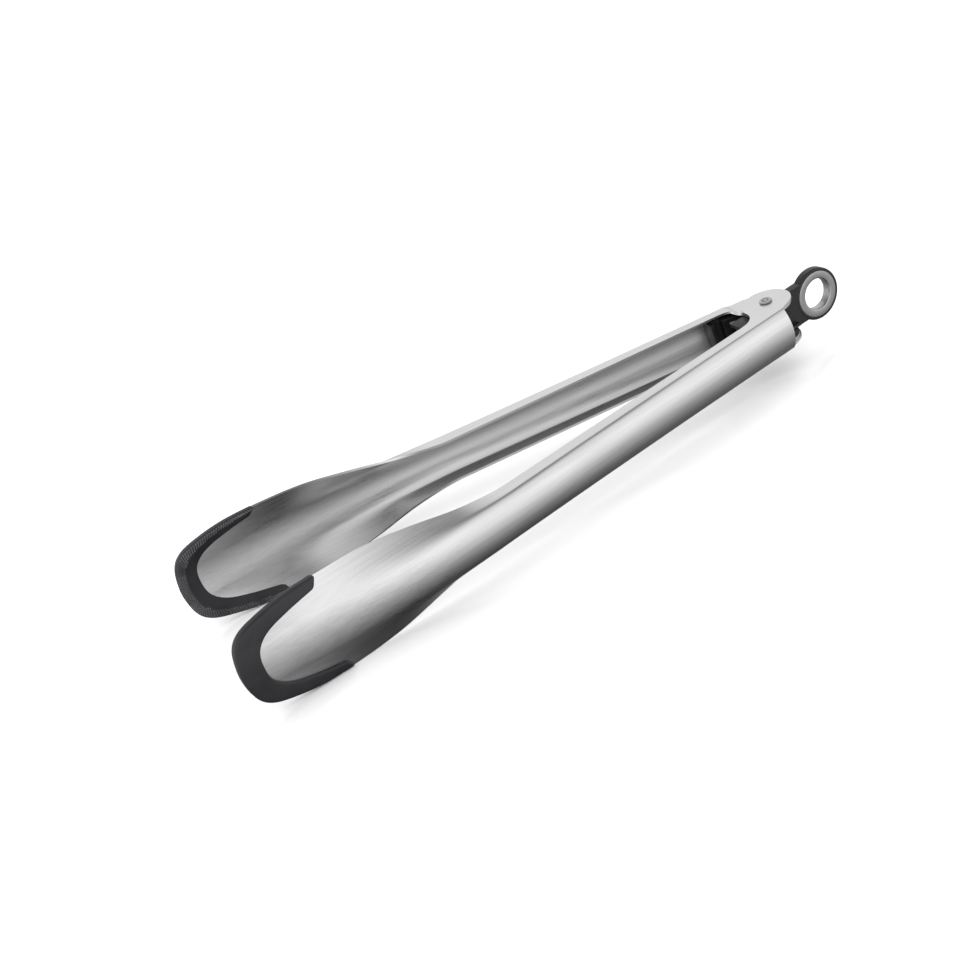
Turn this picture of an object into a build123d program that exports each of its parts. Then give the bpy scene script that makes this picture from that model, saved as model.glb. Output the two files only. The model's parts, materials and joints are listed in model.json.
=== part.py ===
from build123d import *
import os
from math import acos, atan2, cos, hypot, radians, sin, sqrt

# Spring loaded kitchen tongs with silicone tipped jaws, lying on their side, sprung open.
#
# Two pressed steel arms turn on one rivet. The outer arm's side walls carry round lobes outside the
# inner arm's lobes: the inner arm's channel steps inwards there, by a little over one sheet thickness.
# A torsion spring on the rivet pushes the arms open, and a plastic slide with a hanging ring locks them.
#
# Row frame: +Z is parallel to the rivet, +X runs from the jaws to the ring, and Y is the opening
# direction, with the outer arm on -Y. The origin is the middle of the footprint: z = 0 is the plane
# that the jaws' lower edges lie on.
#
# Arm frame, used by every function that draws an arm or what it holds: the rivet is the z axis, the
# arm runs along -X and its back faces -Y. Distances along the arm are called u (u = -x) and
# distances out towards the arm's back are called v (v = -y). The inner arm is the mirror image.

# ---- Driving dimensions, millimetres and degrees ----
SHEET = 1.0                   # thickness of the arm's steel
REST_HALF_ANGLE = 7.5         # each arm's lean from the middle plane when sprung open
JAW_REACH = 267.0             # rivet to jaw tip, along the arm

HANDLE_HALF = 9.4             # half width of the channel, outside
HANDLE_END = 145.0            # where the channel starts to flare into the jaw
BACK_CROWN = 3.1              # rise of the convex back above its two creases
CREASE_V = 12.3               # height of the crease at the rivet
CREASE_GAIN = 0.0125          # how fast the crease rises along the handle
CREASE_BOW = 0.00009          # and its slight outward bow
WALL_V = 7.0                  # inner edge of the side walls at the rivet
WALL_GAIN = 0.012
OUTER_SHELL_REAR = 1.0        # where each arm's back ends, ahead of the rivet
INNER_SHELL_REAR = 4.6
PLATE_FRONT = 60.0            # how far forward the side walls are drawn as flat plates

LOBE_RADIUS = 10.6            # outer arm's lobes
INNER_LOBE_RADIUS = 10.2
LOBE_GAP = 0.1                # between the two arms' lobes
JOGGLE_REAR = 11.4            # where the inner arm's narrow rear part starts to widen
JOGGLE_FRONT = 14.0           # and where it has its full width
CROTCH_FILLET = 8.0           # where a lobe runs into its side wall

SHANK_RADIUS = 2.2            # rivet
RIVET_FIT = 0.05              # radial clearance in the inner arm's lobes
RIVET_HEAD_RADIUS = 2.8
RIVET_HEAD_HEIGHT = 0.8
RIVET_HEAD_CHAMFER = 0.3
RIVET_DIMPLE_RADIUS = 1.7
RIVET_DIMPLE_DEPTH = 1.4
SPACER_RADIUS = 2.8           # tube that keeps the rivet from crushing the channel
SPACER_END_GAP = 0.1          # between each end of it and the lobe

WIRE = 1.5                    # torsion spring
COIL_RADIUS = 4.1             # centre line of the coil
COIL_TURNS = 4 + (180 - 2 * REST_HALF_ANGLE) / 360
COIL_PITCH = 1.6
SPRING_LEG = 16.0

RIM_LEG_START = 226.0         # silicone rims: where their two legs begin
RIM_COVER = 1.6               # silicone beyond the steel's edge
RIM_OUTSIDE = 1.1             # silicone standing above the sheet's outer face
RIM_INSIDE_LEG = 1.2          # and below its inner face, at the leg ends
RIM_INSIDE_TIP = 2.6          # and at the tip, where the jaws meet
RIM_LAYER_START = 211.0       # the rim is cut from a layer that starts here, behind its legs
RIM_END_ROUND = 1.2           # rounding of the leg ends, seen from the back
RIM_LEG_SLANT = 2.4           # how much further forward a leg ends at its inner corner

INSERT_HALF = 6.9             # plastic inserts at the rivet: half width
INSERT_REAR = 1.2
INSERT_FRONT = 24.0
INSERT_FACE_V = 5.2           # inner face
INSERT_GROOVE = (18.6, 22.4)  # cross groove behind the front lip
INSERT_GROOVE_DEPTH = 4.0
MOVING_GAP = 0.6              # round what turns inside an insert: the spring's coil and the comb

LATCH_INNER = 6.0             # latch comb on the inner arm's insert
LATCH_OUTER = 12.4
LATCH_HALF_HEIGHT = 2.0
LATCH_SLOT = 1.6
LATCH_SLOT_START = 7.4
LATCH_LOW_ANGLE = -22.0
LATCH_HIGH_ANGLE = 34.0
POCKET_DEPTH = 1.2            # comb's pocket in the outer arm's insert, below its inner face

JAW_TRAVEL = 16.0             # degrees from sprung open to closed
SLIDE_TRAVEL = 5.0            # pull of the lock slide

BLADE = 1.0                   # lock slide: blade that enters the comb
BLADE_TIP = 12.8
BLADE_LENGTH = 4.4
TINE_THICKNESS = 1.3
TINE_HALF = 4.3
TINE_SLOT_GAP = 0.2           # between the slot and the spacer
TINE_GAP = 0.3                # between a tine and the lobe beside it
NECK_HALF = 8.3               # half height of the neck behind the lobes
NECK_START = 10.9
NECK_THICKNESS = 4.0
NECK_FRONT = 6.2              # block between the lobes

RING_X = 24.6                 # hanging ring
RING_RADIUS = 11.2
RING_THICKNESS = 4.4
RING_ROUND = 0.8              # rounding of the ring's outer edges
EYELET_FLANGE_RADIUS = 9.9
EYELET_TUBE_RADIUS = 7.4
EYELET_BORE_RADIUS = 6.6
EYELET_FLANGE = 0.6

LOBE_INNER_Z = HANDLE_HALF - SHEET             # inner face of the outer arm's walls
SMALL_LOBE_OUT = LOBE_INNER_Z - LOBE_GAP       # inner arm's joggled lobes
SMALL_LOBE_IN = SMALL_LOBE_OUT - SHEET
TINE_TOP = SMALL_LOBE_IN - TINE_GAP
BACK_BEND = (BACK_CROWN ** 2 + HANDLE_HALF ** 2) / (2 * BACK_CROWN)  # radius of the handle's back
PIVOT_X = (JAW_REACH * cos(radians(REST_HALF_ANGLE)) - RING_X - RING_RADIUS) / 2
JAW_HALF = 21.2                                # half width across the jaws
TALL = 60.0                                    # longer than anything it cuts


class Station:
    """One cross-section of an arm: the sheet's outer face, seen along the arm."""

    def __init__(self, u, edge_half, edge_v, crease_half, crease_v, crown):
        self.values = (u, edge_half, edge_v, crease_half, crease_v, crown)
        self.u = u
        self.edge = (edge_half, edge_v)
        self.crease = (crease_half, crease_v)
        self.crown = crown

    def offset(self, d):
        """Edge, crease and spine points of the face that lies d outside the sheet's outer face."""
        (ez, ev), (cz, cv) = self.edge, self.crease
        length = hypot(cz - ez, cv - ev)
        wall = ((cv - ev) / length, (ez - cz) / length)
        bend = (self.crown ** 2 + cz ** 2) / (2 * self.crown)
        back = (cz / bend, (bend - self.crown) / bend)
        lean = 1 + wall[0] * back[0] + wall[1] * back[1]
        edge = (ez + d * wall[0], ev + d * wall[1])
        crease = (cz + d * (wall[0] + back[0]) / lean, cv + d * (wall[1] + back[1]) / lean)
        return edge, crease, cv + self.crown + d

    def face(self, outside, inside):
        """The section of a layer from outside above the sheet's outer face to inside below it."""
        (oe, oc, top), (ie, ic, low) = self.offset(outside), self.offset(-inside)
        outline = [
            Line(self.at(*oe), self.at(*oc)),
            ThreePointArc(self.at(*oc), self.at(0, top), self.at(-oc[0], oc[1])),
            Line(self.at(-oc[0], oc[1]), self.at(-oe[0], oe[1])),
            Line(self.at(-oe[0], oe[1]), self.at(-ie[0], ie[1])),
            Line(self.at(-ie[0], ie[1]), self.at(-ic[0], ic[1])),
            ThreePointArc(self.at(-ic[0], ic[1]), self.at(0, low), self.at(*ic)),
            Line(self.at(*ic), self.at(*ie)),
            Line(self.at(*ie), self.at(*oe)),
        ]
        return Face(Wire(outline))

    def at(self, z, v):
        return Vector(-self.u, -v, z)


def crease_v(u):
    """Height of the crease along the handle."""
    return CREASE_V + CREASE_GAIN * u + CREASE_BOW * u * u


def wall_v(u):
    """Height of the side wall's inner edge along the handle."""
    return WALL_V + WALL_GAIN * u


def handle_station(u, half=HANDLE_HALF):
    """A station of the handle. A narrower channel has the same back, cut off nearer to its middle."""
    crown = BACK_BEND - sqrt(BACK_BEND ** 2 - half ** 2)
    return Station(u, half, wall_v(u), half, crease_v(u) + BACK_CROWN - crown, crown)


# The channel opens out into the jaw's two wings, while its back sinks and fades towards the tip.
JAW_STATIONS = [
    Station(165, 12.2, 9.2, 9.8, 16.2, 3.0),
    Station(185, 16.6, 8.4, 10.2, 15.5, 2.8),
    Station(205, 20.2, 8.0, 10.6, 13.9, 2.5),
    Station(226, 21.2, 7.8, 10.8, 11.6, 2.0),
    Station(246, 21.2, 7.2, 10.4, 9.2, 1.4),
    Station(262, 20.4, 6.4, 10.0, 7.3, 0.9),
    Station(274, 20.0, 5.6, 9.6, 6.0, 0.6),
]


def blended(before, start, end, after, t):
    """A station between start and end, on a smooth curve that also heeds their neighbours."""
    values = []
    for p, q, r, w in zip(before.values, start.values, end.values, after.values):
        enter = (r - p) * (end.u - start.u) / (end.u - before.u)
        leave = (w - q) * (end.u - start.u) / (after.u - start.u)
        values.append(
            q * (1 + 2 * t) * (1 - t) ** 2 + enter * t * (1 - t) ** 2
            + r * t * t * (3 - 2 * t) + leave * t * t * (t - 1)
        )
    return Station(*values)


def outer_handle():
    """Stations at the rear end of the outer arm: its channel has one width all along."""
    return [handle_station(OUTER_SHELL_REAR)]


def inner_handle():
    """Stations at the rear end of the inner arm, where its channel steps inwards."""
    narrow = [handle_station(u, SMALL_LOBE_OUT) for u in (INNER_SHELL_REAR, JOGGLE_REAR)]
    return narrow + [handle_station(JOGGLE_FRONT)]


def stations(rear_end):
    """Stations from those of the rear end to past the jaw tip, close together where the arm changes shape."""
    handle = rear_end + [handle_station(HANDLE_END * part / 3) for part in (1, 2)]
    keys = [handle_station(HANDLE_END - 20), handle_station(HANDLE_END)] + JAW_STATIONS
    keys.append(keys[-1])
    jaw = []
    for before, start, end, after in zip(keys, keys[1:], keys[2:-1], keys[3:]):
        jaw += [blended(before, start, end, after, t) for t in (0, 0.5)]
    return handle + jaw + [JAW_STATIONS[-1]]


def layer(between, outside, inside):
    """A layer that follows the sheet, from outside above its outer face to inside(u) below it."""
    return loft([s.face(outside, inside(s.u)) for s in between], ruled=True)


def mirrored(shape):
    """The inner arm's copy of something drawn for the outer arm."""
    return mirror(shape, about=Plane.XZ)


def place(shape, side):
    """From the arm frame to the row frame at rest. side is -1 for the outer arm and 1 for the inner arm."""
    return Pos(PIVOT_X, 0, JAW_HALF) * (Rot(0, 0, -side * REST_HALF_ANGLE) * shape)


def prism(face, low, high):
    """A face in the XY plane, extruded from z = low to z = high."""
    return extrude(Pos(0, 0, low) * face, amount=high - low)


def both_sides(shape):
    """A shape and its mirror image below the middle plane."""
    return shape + mirror(shape, about=Plane.XY)


# ---- Jaw outlines, seen from the arm's back: (u, half width) ----
def inset(points, amount):
    """The points moved square to the curve that they lie on, towards its inside."""
    moved = []
    for before, point, after in zip([points[0]] + points, points, points[1:] + [points[-1]]):
        du, dw = after[0] - before[0], after[1] - before[1]
        length = hypot(du, dw)
        moved.append((point[0] + amount * dw / length, point[1] - amount * du / length))
    return moved


JAW_EDGE = [(RIM_LEG_START, JAW_HALF), (240, 20.7), (252, 18.6), (260.6, 15.6), (265.2, 10.2)]
RIM_BORE = [(RIM_LEG_START + RIM_LEG_SLANT, 17.4), (241, 15.0), (251, 11.9), (256.6, 7.0)]
RIM_BORE_TIP = 258.0


def jaw_outline(cover):
    """The jaw's outline from the rim's legs to the tip, moved in by cover."""
    around = JAW_EDGE + [(JAW_REACH, 0)] + [(u, -w) for u, w in reversed(JAW_EDGE)]
    points = [(-u, w) for u, w in inset(around, cover)]
    return make_face(Spline(points).edges() + [Line(points[-1], points[0])])


def steel_window():
    """All of the arm that is left bare, and the part of the sheet that the rim grips."""
    bare = RIM_LEG_START + RIM_COVER
    handle = Pos((TALL - bare) / 2, 0) * Rectangle(TALL + bare, 2 * TALL)
    return handle + jaw_outline(RIM_COVER)


def rim_band():
    """The U shaped band of the rim, seen from the arm's back. Its legs end on a slant."""
    upper = [(-u, w) for u, w in RIM_BORE]
    lower = [(x, -w) for x, w in reversed(upper)]
    inner_end, inner_half = upper[0]
    curve = Spline(upper + [(-RIM_BORE_TIP, 0)] + lower)
    behind = JAW_HALF - RIM_LEG_START
    tail = [(inner_end, -inner_half), (behind, -inner_half), (behind, inner_half), (inner_end, inner_half)]
    hollow = make_face(curve.edges() + Polyline(tail).edges())
    wide = TALL / 2
    cut = Polygon(
        (-RIM_LEG_START, wide),
        (inner_end, inner_half),
        (inner_end, -inner_half),
        (-RIM_LEG_START, -wide),
        (behind, -wide),
        (behind, wide),
        align=None,
    )
    band = jaw_outline(0) - hollow - cut
    ends = band.vertices().sort_by(Axis.X)[-4:]
    return fillet(ends, radius=RIM_END_ROUND)


def through_back(face):
    """A face drawn as seen from the arm's back, extruded right through the arm."""
    standing = Rot(90, 0, 0) * face
    return extrude(standing, amount=TALL, both=True)


# ---- Side walls at the rivet ----
def wall_profile(radius, rear):
    """Side wall seen along the rivet: the lobe, the strip ahead of it and the rounded crotch between them."""
    corner = (-rear, -crease_v(rear))
    reach = hypot(*corner)
    turn = atan2(corner[1], corner[0]) + acos(radius / reach)
    tangent = (radius * cos(turn), radius * sin(turn))
    strip = Polygon(
        tangent,
        (0, 0),
        (0, -wall_v(0)),
        (-PLATE_FRONT, -wall_v(PLATE_FRONT)),
        (-PLATE_FRONT, -crease_v(PLATE_FRONT)),
        corner,
        align=None,
    )
    face = Circle(radius) + strip
    crotch = (-sqrt(radius ** 2 - wall_v(0) ** 2), -wall_v(0))
    near = sorted(face.vertices(), key=lambda p: hypot(p.X - crotch[0], p.Y - crotch[1]))[0]
    return fillet(near, radius=CROTCH_FILLET)


def sheet_shell(rear_end):
    """The pressed sheet from its rear edge to the jaw, trimmed to what stays under the rim."""
    sheet = layer(stations(rear_end), 0, lambda u: SHEET)
    return sheet & through_back(steel_window())


def outer_arm():
    """Outer arm: its lobes are flat extensions of the side walls."""
    profile = wall_profile(LOBE_RADIUS, OUTER_SHELL_REAR)
    walls = both_sides(prism(profile, LOBE_INNER_Z, HANDLE_HALF))
    hole = Cylinder(SHANK_RADIUS, TALL)
    return sheet_shell(outer_handle()) + walls - hole


def joggled_slab():
    """A flat sheet beside the rivet that steps outwards ahead of it."""
    outline = Polygon(
        (TALL, SMALL_LOBE_IN),
        (-JOGGLE_REAR, SMALL_LOBE_IN),
        (-JOGGLE_FRONT, LOBE_INNER_Z),
        (-PLATE_FRONT - SHEET, LOBE_INNER_Z),
        (-PLATE_FRONT - SHEET, HANDLE_HALF),
        (-JOGGLE_FRONT, HANDLE_HALF),
        (-JOGGLE_REAR, SMALL_LOBE_OUT),
        (TALL, SMALL_LOBE_OUT),
        align=None,
    )
    return extrude(Rot(90, 0, 0) * outline, amount=TALL, both=True)


def inner_arm():
    """Inner arm: its channel steps inwards near the rivet, so its lobes turn inside the outer arm's."""
    profile = wall_profile(INNER_LOBE_RADIUS, INNER_SHELL_REAR)
    walls = both_sides(joggled_slab() & prism(profile, 0, HANDLE_HALF))
    hole = Cylinder(SHANK_RADIUS + RIVET_FIT, TALL)
    return mirrored(sheet_shell(inner_handle()) + walls - hole)


# ---- Silicone rims ----
def rim_depth(u):
    """Silicone inside the sheet: thin on the legs, thick at the tip."""
    along = (u - RIM_LEG_START) / (JAW_REACH - RIM_LEG_START)
    return RIM_INSIDE_LEG + (RIM_INSIDE_TIP - RIM_INSIDE_LEG) * min(max(along, 0), 1)


def grip_rim(arm):
    """The moulded rim: a thick band over the jaw's edge, with the sheet's place taken out."""
    jaw = [s for s in stations([]) if s.u > RIM_LAYER_START]
    thick = layer(jaw, RIM_OUTSIDE, lambda u: SHEET + rim_depth(u))
    return (thick & through_back(rim_band())) - arm


# ---- Plastic inserts ----
def insert_block():
    """Block that fills the channel under the arm's back, with a cross groove behind its front lip."""
    bend = BACK_BEND - SHEET
    top = CREASE_V + BACK_CROWN - SHEET
    shoulder = top - bend + sqrt(bend ** 2 - INSERT_HALF ** 2)
    low = INSERT_FACE_V
    outline = [
        Line((-low, INSERT_HALF), (-shoulder, INSERT_HALF)),
        ThreePointArc((-shoulder, INSERT_HALF), (-top, 0), (-shoulder, -INSERT_HALF)),
        Line((-shoulder, -INSERT_HALF), (-low, -INSERT_HALF)),
        Line((-low, -INSERT_HALF), (-low, INSERT_HALF)),
    ]
    across = Plane(origin=(-INSERT_REAR, 0, 0), x_dir=(0, 1, 0), z_dir=(-1, 0, 0))
    face = make_face(outline)
    block = extrude(across * face, amount=INSERT_FRONT - INSERT_REAR)
    start, end = INSERT_GROOVE
    groove = Pos(-(start + end) / 2, -low, 0) * Box(end - start, 2 * INSERT_GROOVE_DEPTH, TALL)
    coil_room = Cylinder(COIL_RADIUS + WIRE / 2 + MOVING_GAP, TALL)
    return block - groove - coil_room


def comb_sector():
    """The latch comb's plate: a sector about the rivet, seen along it, in the inner arm's frame."""
    low, high = radians(180 + LATCH_LOW_ANGLE), radians(180 + LATCH_HIGH_ANGLE)

    def polar(radius, angle):
        return (radius * cos(angle), radius * sin(angle))

    middle = (low + high) / 2
    edges = [
        ThreePointArc(polar(LATCH_INNER, low), polar(LATCH_INNER, middle), polar(LATCH_INNER, high)),
        Line(polar(LATCH_INNER, high), polar(LATCH_OUTER, high)),
        ThreePointArc(polar(LATCH_OUTER, high), polar(LATCH_OUTER, middle), polar(LATCH_OUTER, low)),
        Line(polar(LATCH_OUTER, low), polar(LATCH_INNER, low)),
    ]
    return make_face(edges)


def inner_insert():
    """Inner arm's insert with the latch comb: one slot takes the blade at open, the other one at closed."""
    comb = prism(comb_sector(), -LATCH_HALF_HEIGHT, LATCH_HALF_HEIGHT)
    open_slot = -2 * REST_HALF_ANGLE
    for angle in (open_slot, open_slot + JAW_TRAVEL):
        slot = Pos(-LATCH_SLOT_START - TALL / 4, 0, 0) * Box(TALL / 2, LATCH_SLOT, TALL)
        comb -= Rot(0, 0, angle) * slot
    return mirrored(insert_block() + comb)


def outer_insert():
    """Outer arm's insert, with a pocket that the comb swings into."""
    pocket = Cylinder(LATCH_OUTER + MOVING_GAP, 2 * (LATCH_HALF_HEIGHT + MOVING_GAP))
    keep = Pos(0, -INSERT_FACE_V - POCKET_DEPTH - TALL / 2, 0) * Box(4 * TALL, TALL, TALL)
    return insert_block() - (pocket - keep)


# ---- Rivet, spacer and spring ----
def rivet():
    """Rivet with a dimple in each head."""
    top = HANDLE_HALF + RIVET_HEAD_HEIGHT
    half = Polygon(
        (0, 0),
        (SHANK_RADIUS, 0),
        (SHANK_RADIUS, HANDLE_HALF),
        (RIVET_HEAD_RADIUS, HANDLE_HALF),
        (RIVET_HEAD_RADIUS, top - RIVET_HEAD_CHAMFER),
        (RIVET_HEAD_RADIUS - RIVET_HEAD_CHAMFER, top),
        (RIVET_DIMPLE_RADIUS, top),
        (RIVET_DIMPLE_RADIUS - RIVET_HEAD_CHAMFER, top - RIVET_DIMPLE_DEPTH),
        (0, top - RIVET_DIMPLE_DEPTH),
        align=None,
    )
    return both_sides(revolve(Rot(90, 0, 0) * half, Axis.Z))


def spacer():
    """Tube on the rivet between the inner arm's lobes."""
    length = 2 * (SMALL_LOBE_IN - SPACER_END_GAP)
    return Cylinder(SPACER_RADIUS, length) - Cylinder(SHANK_RADIUS + RIVET_FIT, length)


def spring():
    """Torsion spring at rest: a coil on the spacer, with a straight leg along each arm."""
    height = COIL_TURNS * COIL_PITCH
    coil = Rot(0, 0, REST_HALF_ANGLE - 90) * Pos(0, 0, -height / 2) * Helix(COIL_PITCH, height, COIL_RADIUS)
    start, end = coil @ 0, coil @ 1
    path = Wire([
        Line(start, start - (coil % 0) * SPRING_LEG),
        coil.edges()[0],
        Line(end, end + (coil % 1) * SPRING_LEG),
    ])
    section = Plane(origin=path @ 0, z_dir=path % 0) * Circle(WIRE / 2)
    return Pos(PIVOT_X, 0, JAW_HALF) * sweep(section, path=path)


def lock_slide():
    """Lock slide: blade, two tines round the spacer, neck and hanging ring, as one moulding."""
    blade = Pos(-BLADE_TIP - BLADE_LENGTH / 2, 0, 0) * Box(BLADE_LENGTH, BLADE, 2 * TINE_TOP)
    slot_radius = SPACER_RADIUS + TINE_SLOT_GAP
    tine_rear, tine_front = NECK_START, BLADE_TIP + BLADE_LENGTH
    tine = Pos((tine_rear - tine_front) / 2, 0, TINE_TOP - TINE_THICKNESS / 2) * Box(
        tine_rear + tine_front, 2 * TINE_HALF, TINE_THICKNESS)
    slot = Pos(-SLIDE_TRAVEL / 2, 0, 0) * extrude(
        SlotOverall(SLIDE_TRAVEL + 2 * slot_radius, 2 * slot_radius), amount=TALL, both=True)
    tines = both_sides(tine - slot)
    front_block = Pos((NECK_FRONT + NECK_START) / 2, 0, 0) * Box(
        NECK_START - NECK_FRONT, NECK_THICKNESS, 2 * TINE_TOP)
    neck_length = RING_X - NECK_START
    neck = Pos((NECK_START + RING_X) / 2, 0, 0) * Box(neck_length, NECK_THICKNESS, 2 * NECK_HALF)
    ring_axis = Pos(RING_X, 0, 0) * Rot(90, 0, 0)
    ring = ring_axis * fillet(Cylinder(RING_RADIUS, RING_THICKNESS).edges(), radius=RING_ROUND)
    body = blade + tines + front_block + neck + ring
    seat = ring_axis * Cylinder(EYELET_TUBE_RADIUS, TALL)
    for side in (-1, 1):
        flange_seat = Pos(0, 0, side * RING_THICKNESS / 2) * Cylinder(EYELET_FLANGE_RADIUS, 2 * EYELET_FLANGE)
        seat += ring_axis * flange_seat
    return body - seat


def eyelet():
    """Steel eyelet: a tube with a flange on each face of the ring."""
    tube = Cylinder(EYELET_TUBE_RADIUS, RING_THICKNESS)
    for side in (-1, 1):
        middle = side * (RING_THICKNESS - EYELET_FLANGE) / 2
        tube += Pos(0, 0, middle) * Cylinder(EYELET_FLANGE_RADIUS, EYELET_FLANGE)
    bored = tube - Cylinder(EYELET_BORE_RADIUS, TALL)
    return Pos(RING_X, 0, 0) * Rot(90, 0, 0) * bored


def main():
    outer, inner = outer_arm(), inner_arm()
    nodes = {
        "outer_arm": place(outer, -1),
        "inner_arm": place(inner, 1),
        "outer_grip_rim": place(grip_rim(outer), -1),
        "inner_grip_rim": place(mirrored(grip_rim(mirrored(inner))), 1),
        "outer_hub_insert": place(outer_insert(), -1),
        "inner_hub_insert": place(inner_insert(), 1),
        "pivot_rivet": place(rivet(), -1),
        "pivot_spacer": place(spacer(), -1),
        "torsion_spring": spring(),
        "lock_slide": place(lock_slide(), -1),
        "ring_eyelet": place(eyelet(), -1),
    }
    os.makedirs("parts", exist_ok=True)
    for name, shape in nodes.items():
        export_step(shape, f"parts/{name}.step")


main()
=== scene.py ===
"""Spring loaded kitchen tongs: the visible pieces, their finishes and a plain studio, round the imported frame.

Sizes are in millimetres unless a name or comment says otherwise, and are turned to metres when a mesh
is made.
A point of an arm is given as (along, out, up): along the arm from the rivet towards the jaw, out towards the
arm's back, and up the rivet.
"""

import json
import logging
import math
from dataclasses import dataclass
from enum import Enum

import bmesh
import bpy
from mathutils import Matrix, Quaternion, Vector
from mathutils.geometry import delaunay_2d_cdt


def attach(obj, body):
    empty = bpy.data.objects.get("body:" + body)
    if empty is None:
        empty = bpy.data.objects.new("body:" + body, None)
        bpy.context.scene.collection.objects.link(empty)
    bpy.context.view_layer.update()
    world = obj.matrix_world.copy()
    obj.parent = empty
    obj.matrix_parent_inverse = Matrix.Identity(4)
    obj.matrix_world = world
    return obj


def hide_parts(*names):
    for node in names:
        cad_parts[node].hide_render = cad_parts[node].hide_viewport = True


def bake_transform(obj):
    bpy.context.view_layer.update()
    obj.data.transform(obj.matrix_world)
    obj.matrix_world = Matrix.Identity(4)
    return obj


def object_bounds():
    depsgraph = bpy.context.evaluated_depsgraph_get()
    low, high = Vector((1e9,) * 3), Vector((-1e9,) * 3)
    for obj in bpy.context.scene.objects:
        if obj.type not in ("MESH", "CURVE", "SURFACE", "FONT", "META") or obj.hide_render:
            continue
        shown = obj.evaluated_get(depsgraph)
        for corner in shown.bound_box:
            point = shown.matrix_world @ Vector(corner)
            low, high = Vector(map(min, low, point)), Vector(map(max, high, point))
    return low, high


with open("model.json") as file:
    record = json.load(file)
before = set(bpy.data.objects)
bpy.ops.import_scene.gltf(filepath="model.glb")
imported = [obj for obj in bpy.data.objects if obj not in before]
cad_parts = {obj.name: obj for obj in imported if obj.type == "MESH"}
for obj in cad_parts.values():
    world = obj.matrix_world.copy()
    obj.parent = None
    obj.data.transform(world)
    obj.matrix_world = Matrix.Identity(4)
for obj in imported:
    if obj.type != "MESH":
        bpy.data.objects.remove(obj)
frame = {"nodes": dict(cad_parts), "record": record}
CAD_BOX = [list(corner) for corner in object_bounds()]

MM = 0.001
log = logging.getLogger("tongs")

Pair = tuple[float, float]
Face = list[int]


# ---------------------------------------------------------------- frame facts


def joint(name: str) -> dict:
    """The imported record's joint of that name.

    Args:
        name: The joint's name.

    Returns:
        The joint's entry.
    """
    return next(j for j in frame["record"]["behaviour"]["joints"] if j["name"] == name)


PIVOT = Vector(joint("jaw_hinge")["pos_m"])
PULL_AXIS = Vector(joint("lock_pull")["axis"])
LEAN = math.atan2(PULL_AXIS.y, PULL_AXIS.x)


class Side(Enum):
    """The two arms, by the side of the middle plane that each lies on."""

    OUTER = -1
    INNER = 1

    @property
    def label(self) -> str:
        """The word that names of this arm's nodes and pieces start with."""
        return self.name.lower()

    @property
    def body(self) -> str:
        """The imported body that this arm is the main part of."""
        return f"{self.label}_arm_body"

    @property
    def turn(self) -> float:
        """The arm's turn about the rivet from the middle plane, in radians."""
        return -self.value * LEAN

    def at(self, along: float, out: float, up: float) -> Vector:
        """A point of this arm in the row frame.

        Args:
            along: Distance from the rivet towards the jaw.
            out: Distance from the rivet towards the arm's back.
            up: Height above the middle plane.

        Returns:
            The point, in metres.
        """
        x, y = -along, self.value * out
        c, s = math.cos(self.turn), math.sin(self.turn)
        return PIVOT + MM * Vector((x * c - y * s, x * s + y * c, up))


# ---------------------------------------------------------------- mesh helpers


def make_object(name: str, points: list[Vector], faces: list[Face], flip: bool = False) -> bpy.types.Object:
    """A smooth-shaded mesh object at the origin.

    Args:
        name: The object's name.
        points: Vertices in metres.
        faces: Vertex indices of each face.
        flip: Whether to turn every face round.

    Returns:
        The new object.
    """
    mesh = bpy.data.meshes.new(name)
    mesh.from_pydata(points, [], [list(reversed(f)) if flip else f for f in faces])
    mesh.validate()
    mesh.shade_smooth()
    obj = bpy.data.objects.new(name, mesh)
    bpy.context.scene.collection.objects.link(obj)
    return obj


def outward(obj: bpy.types.Object) -> None:
    """Turns the faces of a closed mesh outwards."""
    work = bmesh.new()
    work.from_mesh(obj.data)
    bmesh.ops.recalc_face_normals(work, faces=work.faces)
    work.to_mesh(obj.data)
    work.free()


def ring_tube(rings: list[list[Vector]], closed: bool) -> tuple[list[Vector], list[Face]]:
    """Joins rings of equal size into a tube.

    Args:
        rings: Rings of points, in order along the tube.
        closed: Whether the last ring joins the first one; otherwise both ends get a cap.

    Returns:
        The points and the faces.
    """
    size = len(rings[0])
    points = [p for ring in rings for p in ring]
    faces = []
    for i in range(len(rings) if closed else len(rings) - 1):
        a, b = i * size, (i + 1) % len(rings) * size
        faces += [[a + k, a + (k + 1) % size, b + (k + 1) % size, b + k] for k in range(size)]
    if not closed:
        faces.append(list(range(size))[::-1])
        faces.append([(len(rings) - 1) * size + k for k in range(size)])
    return points, faces


def lathe(name: str, profile: list[Pair], centre: Vector, axis: Vector, segments: int) -> bpy.types.Object:
    """A closed profile turned round an axis.

    Args:
        name: The object's name.
        profile: Closed line of (radius, height along the axis) points.
        centre: Where the axis crosses height zero, in metres.
        axis: Direction of the axis.
        segments: Steps round the axis.

    Returns:
        The new object.
    """
    across = axis.orthogonal().normalized()
    square = axis.cross(across)
    rings = []
    for i in range(segments):
        angle = math.tau * i / segments
        spoke = across * math.cos(angle) + square * math.sin(angle)
        rings.append([centre + MM * (spoke * r + axis * h) for r, h in profile])
    obj = make_object(name, *ring_tube(rings, closed=True))
    work = bmesh.new()
    work.from_mesh(obj.data)
    bmesh.ops.remove_doubles(work, verts=work.verts, dist=1e-7)
    bmesh.ops.delete(work, geom=[e for e in work.edges if not e.link_faces], context="EDGES")
    bmesh.ops.recalc_face_normals(work, faces=work.faces)
    work.to_mesh(obj.data)
    work.free()
    return obj


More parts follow.
